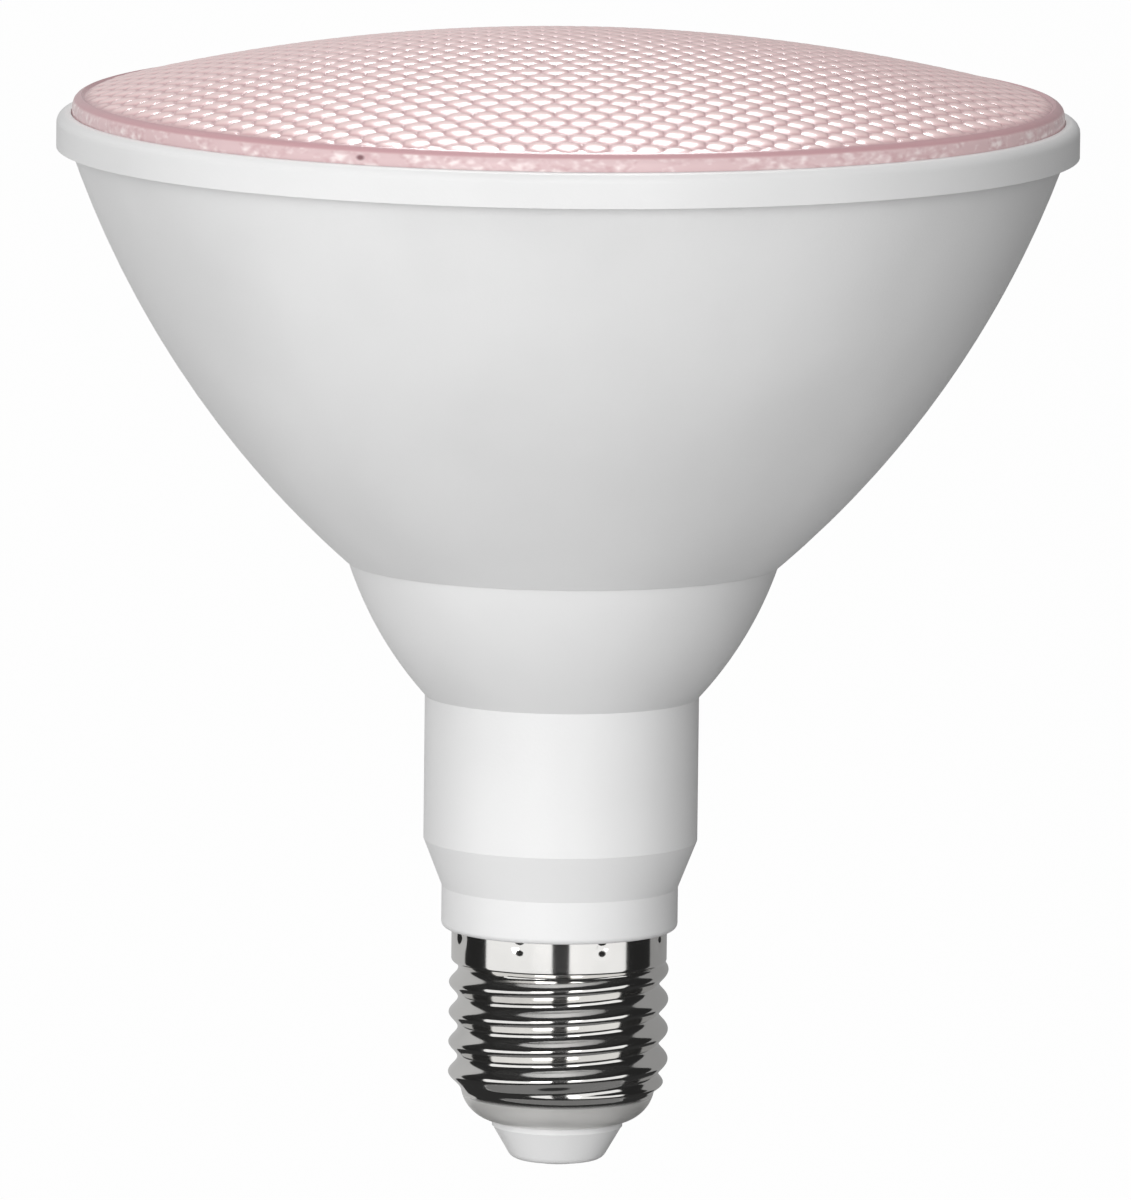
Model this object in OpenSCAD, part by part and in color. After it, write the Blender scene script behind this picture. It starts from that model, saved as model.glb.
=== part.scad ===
// Reflector-shaped LED grow lamp with a screw cap, standing cap down.
// Z runs up the lamp's axis and z = 0 is the tip of the centre contact.
// All sizes are in millimetres.

/* [Screw cap] */
// Diameter over the crests of the cap's thread
thread_crest_d = 26.4; // [26.0:0.05:26.5]
// Diameter at the bottom of the thread's grooves
thread_root_d = 24.2; // [23.8:0.05:24.4]
// Height of one turn of the thread
thread_pitch = 3.629; // [3.4:0.01:3.9]
// Length of the threaded part of the shell
thread_len = 16.2; // [14:0.1:18]
// Height at which the crest crosses the +X side, above the start of the thread
thread_phase_h = 11.3; // [10:0.1:14]
// Diameter of the plain collar above the thread
shell_collar_d = 25.9; // [25.4:0.05:26.2]
// Length of the plain collar above the thread
shell_collar_len = 3.7; // [2.5:0.1:5]
// Thickness of the shell's sheet metal
shell_wall = 0.35; // [0.25:0.05:0.5]
// Height of the rounded shoulder below the thread
shoulder_h = 3.6; // [3:0.1:4.5]
// Radius of the rounded shoulder
shoulder_r = 4.45; // [4.2:0.05:5]
// Radius of the opening that the insulator fills
shell_mouth_r = 7.9; // [7.5:0.1:8.5]
// Height of the insulator that shows below the shell
insulator_h = 4.5; // [3.5:0.1:6]
// Radius of the insulator's lower end
insulator_tip_r = 4.6; // [4.2:0.1:5.5]
// Radius of the insulator where its cone turns into its round end
insulator_cone_r = 6.1; // [5.6:0.1:6.8]
// Radius of the centre contact's head
contact_r = 3.65; // [3:0.05:4]
// Height of the centre contact's head
contact_h = 0.7; // [0.5:0.05:1]
// Radius of the centre contact's hollow shank
contact_shank_r = 1.6; // [1.3:0.05:2]

/* [Driver housing] */
// Radius of the housing's lowest collar
grip_r = 14.2; // [13.8:0.1:15]
// Length of the housing's lowest collar
grip_len = 5.1; // [4:0.1:7]
// Length of the cone between that collar and the neck
taper_len = 5.7; // [4:0.1:8]
// Radius of the neck
neck_r = 16.45; // [16.2:0.05:17.5]
// Length of the neck
neck_len = 17.4; // [15:0.1:22]
// Length of the flared part above the neck
flare_len = 16.2; // [14:0.1:18]
// Radius at the top of the flared part
flare_top_r = 25.85; // [25.5:0.05:26]
// Radius of the flare's curved side
flare_arc_r = 45; // [38:1:60]
// Wall of the housing
housing_wall = 1.8; // [1.5:0.1:2.2]
// Wall of the spigot that goes down into the shell
spigot_wall = 1.3; // [1:0.1:1.6]
// Length of the spigot below the collar
spigot_len = 16.5; // [14:0.5:17]
// Radius of a screw boss
boss_r = 3; // [2.6:0.1:3.2]
// Height of a screw boss
boss_h = 9.5; // [8.5:0.5:11]

/* [Bowl] */
// Radius of the bowl's lower edge
bowl_foot_r = 26.1; // [26.0:0.05:26.6]
// Height of the bowl from its lower edge to the ring
bowl_h = 49.5; // [46:0.1:52]
// Radius of the bowl's curved side
bowl_arc_r = 118; // [105:1:140]
// Wall of the bowl
bowl_wall = 1.6; // [1.3:0.1:1.8]
// Thickness of the bowl's floor
bowl_floor = 2; // [1.6:0.1:2.6]

/* [Ring] */
// Wall of the ring outside the flanges that it grips
ring_wall = 0.8; // [0.6:0.05:1.2]
// Height of the ring
ring_h = 4.1; // [4:0.1:5]
// Rounding of the ring's upper edge
ring_round = 1.2; // [0.6:0.1:1.4]
// Width of the lens's flange outside its wall
flange_w = 1; // [0.8:0.05:1.2]
// Thickness of the ring's upper lip
lip_h = 1; // [0.8:0.05:1.2]
// Thickness of the ring's lower hook
hook_h = 0.65; // [0.5:0.05:0.8]

/* [Lens] */
// Outer radius of the lens's wall, which the bowl's rim and the ring follow
lens_r = 59.2; // [58:0.1:60]
// Height of the lens's straight wall above the ring
lens_wall_h = 1.7; // [1.2:0.1:3]
// Rise of the lens's dome above its wall
dome_rise = 7.85; // [5:0.05:9]
// Thickness of the domed part
lens_t = 2.2; // [1.6:0.1:2.6]
// Thickness of the lens's wall
lens_wall = 1.9; // [1.6:0.1:2.2]
// Thickness of the lens's flange
lens_flange_h = 1.2; // [1:0.05:1.4]
// Rounding between the wall and the dome
lens_round = 1.3; // [0.8:0.1:1.6]

/* [Inner parts] */
// Wall of the heat sink's cup
sink_wall = 1.2; // [1:0.1:1.6]
// Thickness of the heat sink's floor
sink_floor = 2.5; // [2:0.1:3]
// Height of the heat sink's cup
sink_h = 27; // [20:1:34]
// Thickness of the thermal pad
pad_t = 0.5; // [0.3:0.1:1]
// Radius of the thermal pad
pad_r = 24; // [23:0.1:25]
// Radius of the LED board
led_board_r = 25.5; // [25:0.1:25.9]
// Thickness of the LED board
led_board_t = 1.6; // [1:0.1:2]
// Radii of the three rings of LEDs
led_ring_1 = 7; // [6.5:0.1:7.5]
// Radius of the middle ring of LEDs
led_ring_2 = 13; // [12:0.1:14]
// Radius of the outer ring of LEDs, which the screws share
led_ring_3 = 19.5; // [19:0.1:20]
// Length of an LED
led_len = 3.5; // [2.8:0.1:3.6]
// Width of an LED
led_w = 2.8; // [2.2:0.1:3]
// Height of an LED
led_h = 0.7; // [0.5:0.05:1]
// Thickness of the reflector
reflector_t = 1; // [0.8:0.1:1.2]
// Space between the bowl's wall and the reflector
reflector_gap = 2.8; // [2.6:0.1:4]
// Thickness of the driver board
driver_board_t = 1.6; // [1:0.1:1.8]
// Half the driver board's width
driver_board_hw = 14; // [13:0.1:14.2]
// Height of the wide part of the driver board
driver_board_h = 30; // [28:0.5:31]
// Half the width of the driver board's tail
driver_tail_hw = 11; // [10:0.1:11.3]
// Length of the driver board's tail
driver_tail_len = 8; // [7:0.1:8.6]
// Radius of an insulated wire
wire_r = 0.6; // [0.4:0.05:0.7]
// Radius of a bend in a wire
wire_bend_r = 1.2; // [1:0.1:1.6]
// Radius of a screw's shank
screw_r = 1.1; // [0.9:0.05:1.3]
// Radius of a screw's head
screw_head_r = 2.6; // [2.2:0.1:2.8]
// Height of a screw's head
screw_head_h = 1.8; // [1.4:0.1:2.2]
// Length of a screw under its head
screw_len = 13.5; // [12.5:0.5:14]

/* [Fits] */
// Clearance between pieces that slip together
slip = 0.1; // [0.05:0.01:0.2]

/* [Hidden] */
$fn = 128;
SIDES = [-1, 1];
SCREW_COUNT = 3;
SCREWS = [for (k = [0 : SCREW_COUNT - 1]) 360 / SCREW_COUNT * k + 90];

crest_r = thread_crest_d / 2;
root_r = thread_root_d / 2;
shell_collar_r = shell_collar_d / 2;
shell_z = insulator_h + 0.4;
thread_z = shell_z + shoulder_h;
shell_collar_z = thread_z + thread_len;
grip_z = shell_collar_z + shell_collar_len;
taper_z = grip_z + grip_len;
neck_z = taper_z + taper_len;
flare_z = neck_z + neck_len;
bowl_z = flare_z + flare_len;
flange_r = lens_r + flange_w;
bowl_rim_r = flange_r - 0.8 * flange_w;
ring_r = flange_r + slip + ring_wall;
ring_z = bowl_z + bowl_h;
ring_top = ring_z + ring_h;
lens_edge_z = ring_top + lens_wall_h;
lamp_h = lens_edge_z + dome_rise;

// Centre of the circle of radius r that bulges outwards through two points of a profile.
function arc_centre(p, q, r) =
    let (d = q - p, len = norm(d), off = sqrt(r * r - len * len / 4))
    [(p[0] + q[0]) / 2 - off * d[1] / len, (p[1] + q[1]) / 2 + off * d[0] / len];

// Distance from the axis of a circle's right side at height z.
function arc_x(c, r, z) = c[0] + sqrt(r * r - pow(z - c[1], 2));

// Points of an arc about c from angle a to angle b, in n steps.
function arc_points(c, r, a, b, n = 8) =
    [for (i = [0 : n]) let (t = a + (b - a) * i / n) c + r * [cos(t), sin(t)]];

// Smooth step from 0 to 1 as x goes from a to b.
function smooth(a, b, x) = let (t = min(1, max(0, (x - a) / (b - a)))) t * t * (3 - 2 * t);

bowl_c = arc_centre([bowl_foot_r, bowl_z], [bowl_rim_r, ring_z], bowl_arc_r);
flare_c = arc_centre([neck_r, flare_z], [flare_top_r, bowl_z], flare_arc_r);
bowl_in_r = bowl_arc_r - bowl_wall;
sink_out_r = bowl_in_r - slip;
reflector_out_r = bowl_in_r - reflector_gap;

// The ring closes like a clamp on the lens's flange, which lies on the bowl's.
lens_flange_z = ring_top - lip_h - slip / 2 - lens_flange_h;
bowl_flange_z = ring_z + hook_h + slip / 2;

sink_z = bowl_z + bowl_floor;
pad_z = sink_z + sink_floor;
led_board_z = pad_z + pad_t;
board_top = led_board_z + led_board_t;
neck_in_r = neck_r - housing_wall;
grip_in_r = grip_r - housing_wall;
ledge_z = neck_z + 0.3;
spigot_r = root_r - shell_wall - slip;
plug_r = shell_collar_r - shell_wall - slip;
plug_len = shell_collar_len - 0.3;
spigot_in_r = spigot_r - spigot_wall;
spigot_z = grip_z - spigot_len;
tail_z = ledge_z - driver_tail_len;
driver_top = ledge_z + driver_board_h;
face_y = driver_board_t / 2;
wire_y = face_y + wire_r + slip / 2;
led_wire_x = 1;
wire_hole_r = led_wire_x + wire_r + 0.6;

// A rectangle of a profile, from radius r0 to r1 and height z0 to z1.
module band(r0, r1, z0, z1) {
    translate([r0, z0]) square([r1 - r0, z1 - z0]);
}

// The part of a profile's circle that lies right of the axis between two heights.
module bulge(c, r, z0, z1) {
    intersection() {
        translate(c) circle(r = r, $fn = 256);
        band(0, c[0] + r + 1, z0, z1);
    }
}

// Copies at equal radius and at the given angles.
module around(radius, angles) {
    for (a = angles) rotate([0, 0, a]) translate([radius, 0, 0]) children();
}

// A quarter bend of wire that starts at the origin going down and ends going towards +X.
module elbow(bend_r) {
    translate([bend_r, 0, 0]) rotate([90, 0, 0]) rotate([0, 0, 180])
        rotate_extrude(angle = 90) translate([bend_r, 0]) circle(r = wire_r, $fn = 24);
}

dome_r = (lens_r * lens_r + dome_rise * dome_rise) / (2 * dome_rise);
dome_c = [0, lamp_h - dome_r];
lens_in_r = lens_r - lens_wall;

module lens_outline() {
    corner = [lens_r - lens_round, arc_x([dome_c[1], 0], dome_r, lens_r - lens_round) - lens_round * 0.95];
    intersection() {
        translate(dome_c) circle(r = dome_r, $fn = 512);
        polygon(concat(
            [[0, lens_flange_z], [lens_r, lens_flange_z]],
            arc_points(corner, lens_round, 0, 90),
            [[lens_r - lens_round, lamp_h + 1], [0, lamp_h + 1]]));
    }
}

module lens() {
    color([0.93, 0.72, 0.73, 0.6]) rotate_extrude() {
        difference() {
            union() {
                lens_outline();
                band(0, flange_r, lens_flange_z, lens_flange_z + lens_flange_h);
            }
            intersection() {
                translate(dome_c) circle(r = dome_r - lens_t, $fn = 512);
                band(0, lens_in_r, lens_flange_z - 1, lamp_h);
            }
        }
    }
}

module bezel_ring() {
    lip_r = lens_r + 2 * slip;
    hook_r = arc_x(bowl_c, bowl_arc_r, bowl_flange_z) + slip;
    color("white") rotate_extrude() {
        difference() {
            polygon(concat(
                [[lip_r, ring_z], [ring_r, ring_z]],
                arc_points([ring_r - ring_round, ring_top - ring_round], ring_round, 0, 90),
                [[lip_r, ring_top]]));
            band(0, flange_r + slip, ring_z + hook_h, ring_top - lip_h);
            band(0, hook_r, ring_z - 1, ring_z + hook_h + slip);
        }
    }
}

module bowl() {
    color("white") difference() {
        rotate_extrude() {
            difference() {
                union() {
                    bulge(bowl_c, bowl_arc_r, bowl_z, bowl_flange_z);
                    band(0, flange_r, bowl_flange_z, lens_flange_z);
                }
                bulge(bowl_c, bowl_in_r, bowl_z + bowl_floor, lens_flange_z + 1);
            }
        }
        floor_holes(bowl_z, bowl_floor);
    }
}

// The wire's hole and the screws' holes through a plate under the LEDs.
module floor_holes(z, h) {
    translate([0, wire_y, z - 1]) cylinder(r = wire_hole_r, h = h + 2);
    around(led_ring_3, SCREWS) translate([0, 0, z - 1]) cylinder(r = screw_r + slip, h = h + 2);
}

module reflector() {
    rim_z = lens_flange_z - 2 * slip;
    rim_r = arc_x(bowl_c, bowl_in_r, rim_z - reflector_t) - 2 * slip;
    color("white") rotate_extrude() {
        difference() {
            union() {
                bulge(bowl_c, reflector_out_r, board_top, rim_z);
                band(0, rim_r, rim_z - reflector_t, rim_z);
            }
            bulge(bowl_c, reflector_out_r - reflector_t, board_top + reflector_t, rim_z + 1);
            band(0, led_ring_3 + 4.1, board_top - 1, board_top + reflector_t + 1);
        }
    }
}

module heat_sink() {
    color("silver") difference() {
        rotate_extrude() {
            difference() {
                bulge(bowl_c, sink_out_r, sink_z, sink_z + sink_h);
                bulge(bowl_c, sink_out_r - sink_wall, sink_z + sink_floor, sink_z + sink_h + 1);
            }
        }
        floor_holes(sink_z, sink_floor);
    }
}

module thermal_pad() {
    color("lightblue") difference() {
        translate([0, 0, pad_z]) cylinder(r = pad_r, h = pad_t);
        floor_holes(pad_z, pad_t);
    }
}

module led_board() {
    color("whitesmoke") difference() {
        translate([0, 0, led_board_z]) cylinder(r = led_board_r, h = led_board_t);
        floor_holes(led_board_z, led_board_t);
    }
}

// One LED: a low block with a round well for the phosphor.
module led() {
    difference() {
        translate([-led_w / 2, -led_len / 2, board_top]) cube([led_w, led_len, led_h]);
        translate([0, 0, board_top + led_h - 0.2]) cylinder(r = led_w * 0.38, h = 1, $fn = 24);
    }
}

RING_1 = [for (i = [0 : 5]) 60 * i];
RING_2 = [for (i = [0 : 11]) 15 + 30 * i];
RING_3 = [for (a = SCREWS, j = [1 : 5]) a + 20 * j];

module leds_white() {
    color("khaki") {
        around(led_ring_1, [for (i = [0 : 2 : 5]) RING_1[i]]) led();
        around(led_ring_2, [for (i = [0 : 11]) if (i % 2 == 1) RING_2[i]]) led();
        around(led_ring_3, [for (i = [0 : 14]) if (i % 5 != 2) RING_3[i]]) led();
    }
}

module leds_red() {
    color("red") {
        around(led_ring_1, [for (i = [1 : 2 : 5]) RING_1[i]]) led();
        around(led_ring_2, [for (i = [2 : 4 : 11]) RING_2[i]]) led();
        around(led_ring_3, [for (i = [2 : 5 : 14]) RING_3[i]]) led();
    }
}

module leds_blue() {
    color("royalblue") around(led_ring_2, [for (i = [0 : 4 : 11]) RING_2[i]]) led();
}

terminal_y = -1;
terminal_len = led_ring_1 - led_w / 2 - 2.2;
terminal_w = 5.6;
terminal_h = 3.4;
lead_z = board_top + 1.9;

module board_terminal() {
    color("ivory") difference() {
        translate([-terminal_w / 2, terminal_y - terminal_len, board_top])
            cube([terminal_w, terminal_len, terminal_h]);
        for (s = SIDES) translate([s * led_wire_x, terminal_y + 1, lead_z])
            rotate([90, 0, 0]) cylinder(r = wire_r + slip, h = 2.5);
    }
}

module board_screws() {
    color("silver") around(led_ring_3, SCREWS) {
        translate([0, 0, board_top - screw_len]) cylinder(r = screw_r, h = screw_len + screw_head_h / 2);
        difference() {
            translate([0, 0, board_top]) cylinder(r = screw_head_r, h = screw_head_h);
            for (a = [0, 90]) rotate([0, 0, a]) translate([-1.6, -0.25, board_top + screw_head_h / 2])
                cube([3.2, 0.5, screw_head_h]);
        }
    }
}

led_lead_z = driver_top - 6;

// A lead from the driver board up through the floor and over into the terminal.
module led_wire(x) {
    bend_z = lead_z - wire_bend_r;
    translate([x, wire_y, led_lead_z]) cylinder(r = wire_r, h = bend_z - led_lead_z, $fn = 24);
    translate([x, wire_y, bend_z]) rotate([0, 0, -90]) mirror([0, 0, 1]) elbow(wire_bend_r);
    translate([x, wire_y - wire_bend_r, lead_z]) rotate([90, 0, 0])
        cylinder(r = wire_r, h = wire_y - wire_bend_r - terminal_y + 1, $fn = 24);
}

module led_wire_red() {
    color("red") led_wire(led_wire_x);
}

module led_wire_black() {
    color("dimgray") led_wire(-led_wire_x);
}

// A block on the driver board: side 1 is its front, -1 its back.
module on_board(side, x, z, size) {
    y = side > 0 ? face_y : -face_y - size[1];
    translate([x - size[0] / 2, y, z]) cube(size);
}

module driver_board() {
    color("seagreen") translate([0, face_y, 0]) rotate([90, 0, 0])
        linear_extrude(height = driver_board_t) {
            translate([-driver_board_hw, ledge_z]) square([2 * driver_board_hw, driver_board_h]);
            translate([-driver_tail_hw, tail_z]) square([2 * driver_tail_hw, driver_tail_len + 1]);
        }
}

core_size = [14, 5, 13];
core_leg = 4.4;
core_yoke = 2.5;
core_side = 2;
core_lift = 5;
core_z = ledge_z + core_lift;
bobbin_foot = 2.8;
bobbin_plate = 0.4;
core_y = face_y + bobbin_foot;
winding_r = core_size[0] / 2 - core_side - 2 * slip;

module transformer_core() {
    window = (core_size[0] - core_leg) / 2 - core_side;
    color("#404048") difference() {
        translate([-core_size[0] / 2, core_y, core_z]) cube(core_size);
        for (s = SIDES) translate([s * (core_leg + window) / 2 - window / 2, core_y - 1, core_z + core_yoke])
            cube([window, core_size[1] + 2, core_size[2] - 2 * core_yoke]);
    }
}

module transformer_winding() {
    gap = slip / 2;
    color("darkgoldenrod") difference() {
        translate([0, core_y + core_size[1] / 2, core_z + core_yoke + gap])
            cylinder(r = winding_r, h = core_size[2] - 2 * core_yoke - 2 * gap);
        translate([-core_leg / 2 - gap, core_y - gap, core_z])
            cube([core_leg + 2 * gap, core_size[1] + 2 * gap, core_size[2]]);
    }
}

module transformer_bobbin() {
    flange_t = core_yoke - bobbin_plate;
    color("black") {
        on_board(1, 0, core_z, [core_size[0], bobbin_plate, core_size[2]]);
        for (z = [core_z, core_z + core_size[2] - flange_t])
            on_board(1, 0, z, [core_size[0], bobbin_foot, flange_t]);
    }
}

input_cap_r = 5;
input_cap_len = 17;
input_cap_z = tail_z - 2 - input_cap_len;
cap_lead_r = 0.3;
cap_lead_x = 1.25;

module input_capacitor() {
    lead_y = -face_y - cap_lead_r - slip / 2;
    color("darkslateblue") {
        translate([0, 0, input_cap_z]) cylinder(r = input_cap_r, h = input_cap_len);
        for (s = SIDES) translate([s * cap_lead_x, lead_y, input_cap_z + input_cap_len - 1])
            cylinder(r = cap_lead_r, h = 6, $fn = 16);
    }
}

output_cap_r = 4;
output_cap_len = 11;
output_cap_z = ledge_z + 8;

module output_capacitor() {
    y = -face_y - output_cap_r - slip;
    color("darkslateblue") {
        translate([4.5, y, output_cap_z]) cylinder(r = output_cap_r, h = output_cap_len);
        for (s = SIDES) translate([4.5 + s * cap_lead_x, -face_y, output_cap_z + output_cap_len + 0.8])
            rotate([90, 0, 0]) cylinder(r = cap_lead_r, h = output_cap_r, $fn = 16);
        translate([3, y - 0.4, output_cap_z + output_cap_len - 0.5]) cube([3, 0.8, 1.8]);
    }
}

film_size = [10, 5, 6.5];
film_lift = 22;

module film_capacitor() {
    color("crimson") on_board(-1, 0, ledge_z + film_lift, film_size);
}

choke_r = 3.8;
choke_x = -5.5;
choke_lift = 12;

module choke() {
    color("#404048") translate([choke_x, -face_y, ledge_z + choke_lift]) rotate([90, 0, 0]) {
        cylinder(r = choke_r, h = 1.2);
        cylinder(r = choke_r - 0.8, h = 8);
        translate([0, 0, 6.8]) cylinder(r = choke_r, h = 1.2);
    }
}

module rectifier() {
    color("black") on_board(1, 0, tail_z + 2.5, [5, 2.4, 4.2]);
}

module driver_chip() {
    color("black") on_board(1, 0, led_lead_z - 5.5, [4, 1.5, 5]);
}

chip_size = [1.6, 0.6, 0.9];
chip_step = 2.5;

module chip_resistors() {
    x = core_size[0] / 2 + chip_step;
    z = core_z + core_size[2] + chip_step;
    color("#303030") for (i = [0, 1], j = [0, 1])
        on_board(1, -x + i * chip_step, z + j * chip_step, chip_size);
}

fuse_r = 1.5;
fuse_len = 7;

module fuse_resistor() {
    y = -face_y - fuse_r - 0.5;
    z = ledge_z + 2.5;
    color("tan") {
        translate([-fuse_len / 2 - 4, y, z]) rotate([0, 90, 0]) cylinder(r = fuse_r, h = fuse_len);
        for (s = SIDES) translate([s * (fuse_len / 2 - 0.8) - 4, -face_y, z]) rotate([90, 0, 0])
            cylinder(r = cap_lead_r, h = 1.5, $fn = 16);
    }
}

mains_x = 6.5;
mains_top = tail_z + 4;
live_low_z = thread_z - 1.2;
live_turn_r = 2.5;

// The plane through the axis in which a mains wire runs down and then inwards or outwards.
module mains_wire_frame(side) {
    rotate([0, 0, side > 0 ? atan2(wire_y, mains_x) : 180 - atan2(wire_y, mains_x)]) children();
}

mains_rho = sqrt(mains_x * mains_x + wire_y * wire_y);

module live_wire() {
    color("saddlebrown") mains_wire_frame(1) {
        translate([mains_rho, 0, live_low_z + live_turn_r])
            cylinder(r = wire_r, h = mains_top - live_low_z - live_turn_r, $fn = 24);
        translate([mains_rho, 0, live_low_z + live_turn_r]) mirror([1, 0, 0]) elbow(live_turn_r);
        translate([live_turn_r, 0, live_low_z]) rotate([0, 90, 0])
            cylinder(r = wire_r, h = mains_rho - 2 * live_turn_r, $fn = 24);
        translate([0, 0, live_low_z - live_turn_r]) mirror([0, 0, 1]) elbow(live_turn_r);
        translate([0, 0, contact_h + 0.5])
            cylinder(r = wire_r, h = live_low_z - live_turn_r - contact_h - 0.5, $fn = 24);
    }
}

neutral_low_z = thread_z + 0.8;

module neutral_wire() {
    color("steelblue") mains_wire_frame(-1) {
        translate([mains_rho, 0, neutral_low_z + wire_bend_r])
            cylinder(r = wire_r, h = mains_top - neutral_low_z - wire_bend_r, $fn = 24);
        translate([mains_rho, 0, neutral_low_z + wire_bend_r]) elbow(wire_bend_r);
        translate([mains_rho + wire_bend_r, 0, neutral_low_z]) rotate([0, 90, 0])
            cylinder(r = wire_r, h = shell_in(neutral_low_z) - 3 * slip - mains_rho - wire_bend_r, $fn = 24);
    }
}

module housing_profile() {
    difference() {
        union() {
            bulge(flare_c, flare_arc_r, flare_z, bowl_z);
            band(0, neck_r, neck_z, flare_z);
            polygon(concat(
                [[0, grip_z], [grip_r - 0.7, grip_z]],
                arc_points([grip_r - 0.7, grip_z + 0.7], 0.7, -90, 0),
                [[grip_r, taper_z], [neck_r, neck_z], [0, neck_z]]));
            band(0, plug_r, grip_z - plug_len, grip_z);
            band(0, spigot_r, spigot_z, grip_z);
        }
        bulge(flare_c, flare_arc_r - housing_wall, flare_z, bowl_z + 1);
        band(0, neck_in_r, ledge_z, flare_z + 2);
        band(0, grip_in_r, grip_z + housing_wall, ledge_z + 1);
        band(0, spigot_in_r, spigot_z - 1, grip_z + housing_wall + 1);
    }
}

module driver_housing() {
    rib = 1.2;
    rib_y = face_y + slip;
    color("white") difference() {
        union() {
            rotate_extrude() housing_profile();
            intersection() {
                around(led_ring_3, SCREWS) translate([0, 0, bowl_z - boss_h])
                    cylinder(r = boss_r, h = boss_h);
                rotate_extrude() bulge(flare_c, flare_arc_r - housing_wall / 2, flare_z, bowl_z);
            }
            for (s = [0, 1], t = [0, 1]) mirror([s, 0, 0]) mirror([0, t, 0])
                translate([neck_in_r - 2, rib_y, ledge_z - 0.5]) cube([2.6, rib, neck_len]);
        }
        around(led_ring_3, SCREWS) translate([0, 0, bowl_z - boss_h + 1])
            cylinder(r = screw_r + slip / 2, h = boss_h);
    }
}

shoulder_c = [root_r - 0.5 - sqrt(pow(shoulder_r, 2) - pow(0.9, 2)), thread_z + 0.9];

// The rolled band's ends lie this far inside the faces of the collar and the shoulder that they join.
seam = 0.04;

// Radius of the shell without its thread, which narrows into the shoulder and widens into the collar.
function shell_base(z) =
    let (low = arc_x(shoulder_c, shoulder_r, thread_z) - seam)
    low + (root_r - low) * smooth(thread_z, thread_z + 1.2, z)
        + (shell_collar_r - seam - root_r) * smooth(shell_collar_z - 0.9, shell_collar_z, z);

// Inner radius of the shell, which is plain.
function shell_in(z) =
    let (low = arc_x(shoulder_c, shoulder_r - shell_wall, thread_z) + seam)
    low + (root_r - shell_wall - low) * smooth(thread_z, thread_z + 1.2, z)
        + (shell_collar_r + seam - root_r) * smooth(shell_collar_z - 0.9, shell_collar_z, z);

// Height of the thread above its root, with a narrow crest and a wide groove.
function thread_rise(a, z) =
    let (turn = (z - thread_z - thread_phase_h) / thread_pitch - a / 360)
    (crest_r - root_r) * pow(0.5 + 0.5 * cos(360 * turn), 1.3)
        * smooth(thread_z, thread_z + 1.6, z) * (1 - smooth(shell_collar_z - 0.9, shell_collar_z, z));

thread_sides = 60;
thread_rows = 38;
inner_rows = 8;

// One ring of points: its radius is a function of the angle and the height.
function outer_ring(z) = [for (i = [0 : thread_sides - 1])
    let (a = 360 * i / thread_sides, r = shell_base(z) + thread_rise(a, z)) [r * cos(a), r * sin(a), z]];
function inner_ring(z) = [for (i = [0 : thread_sides - 1])
    let (a = 360 * i / thread_sides, r = shell_in(z)) [r * cos(a), r * sin(a), z]];

// The threaded band: outside going up, then inside going down, closed on itself.
module threaded_band() {
    inner_z = [for (i = [inner_rows : -1 : 0]) thread_z + thread_len * smooth(0, inner_rows, i)];
    rings = concat(
        [for (i = [0 : thread_rows]) outer_ring(thread_z + thread_len * i / thread_rows)],
        [for (z = inner_z) inner_ring(z)]);
    n = thread_sides;
    m = len(rings);
    points = [for (ring = rings, p = ring) p];
    faces = [for (j = [0 : m - 1], i = [0 : n - 1])
        let (low = j * n, high = (j + 1) % m * n, k = (i + 1) % n)
        each [[low + i, high + i, low + k], [low + k, high + i, high + k]]];
    polyhedron(points = points, faces = faces);
}

module screw_shell() {
    color("silver") {
        threaded_band();
        rotate_extrude() {
            band(shell_collar_r - shell_wall, shell_collar_r, shell_collar_z, grip_z);
            difference() {
                bulge(shoulder_c, shoulder_r, shell_z - 1, thread_z);
                bulge(shoulder_c, shoulder_r - shell_wall, shell_z - 1, thread_z + 1);
                band(0, shell_mouth_r, shell_z - 2, thread_z);
            }
        }
    }
}

module insulator() {
    funnel_z = live_low_z - live_turn_r - 0.2;
    tip_z = contact_h - 0.4;
    tip_round = insulator_cone_r - insulator_tip_r;
    cone_a = atan2(insulator_cone_r - shell_mouth_r, shell_z - tip_z) - 10;
    color("gainsboro") rotate_extrude() {
        difference() {
            union() {
                polygon(concat(
                    [[0, tip_z], [insulator_tip_r, tip_z]],
                    arc_points([insulator_cone_r - tip_round, tip_z + tip_round], tip_round, -90, cone_a),
                    [[shell_mouth_r - slip / 2, shell_z - 0.5], [0, shell_z - 0.5]]));
                band(0, shell_mouth_r - slip / 2, shell_z - 0.6, shell_z + 1.2);
            }
            band(0, contact_r + slip / 2, -1, contact_h);
            band(0, contact_shank_r + slip / 2, 0, funnel_z + 1);
            band(0, live_turn_r + wire_r + 0.2, funnel_z, shell_z + 3);
        }
    }
}

module centre_contact() {
    color("silver") rotate_extrude() {
        difference() {
            union() {
                polygon(concat(
                    [[0, 0], [contact_r - 0.5, 0]],
                    arc_points([contact_r - 0.5, 0.5], 0.5, -90, 0, 4),
                    [[contact_r, contact_h], [0, contact_h]]));
                band(0, contact_shank_r, 0, live_low_z - live_turn_r - 0.3);
            }
            band(0, wire_r + 0.15, contact_h, live_low_z);
        }
    }
}

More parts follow.
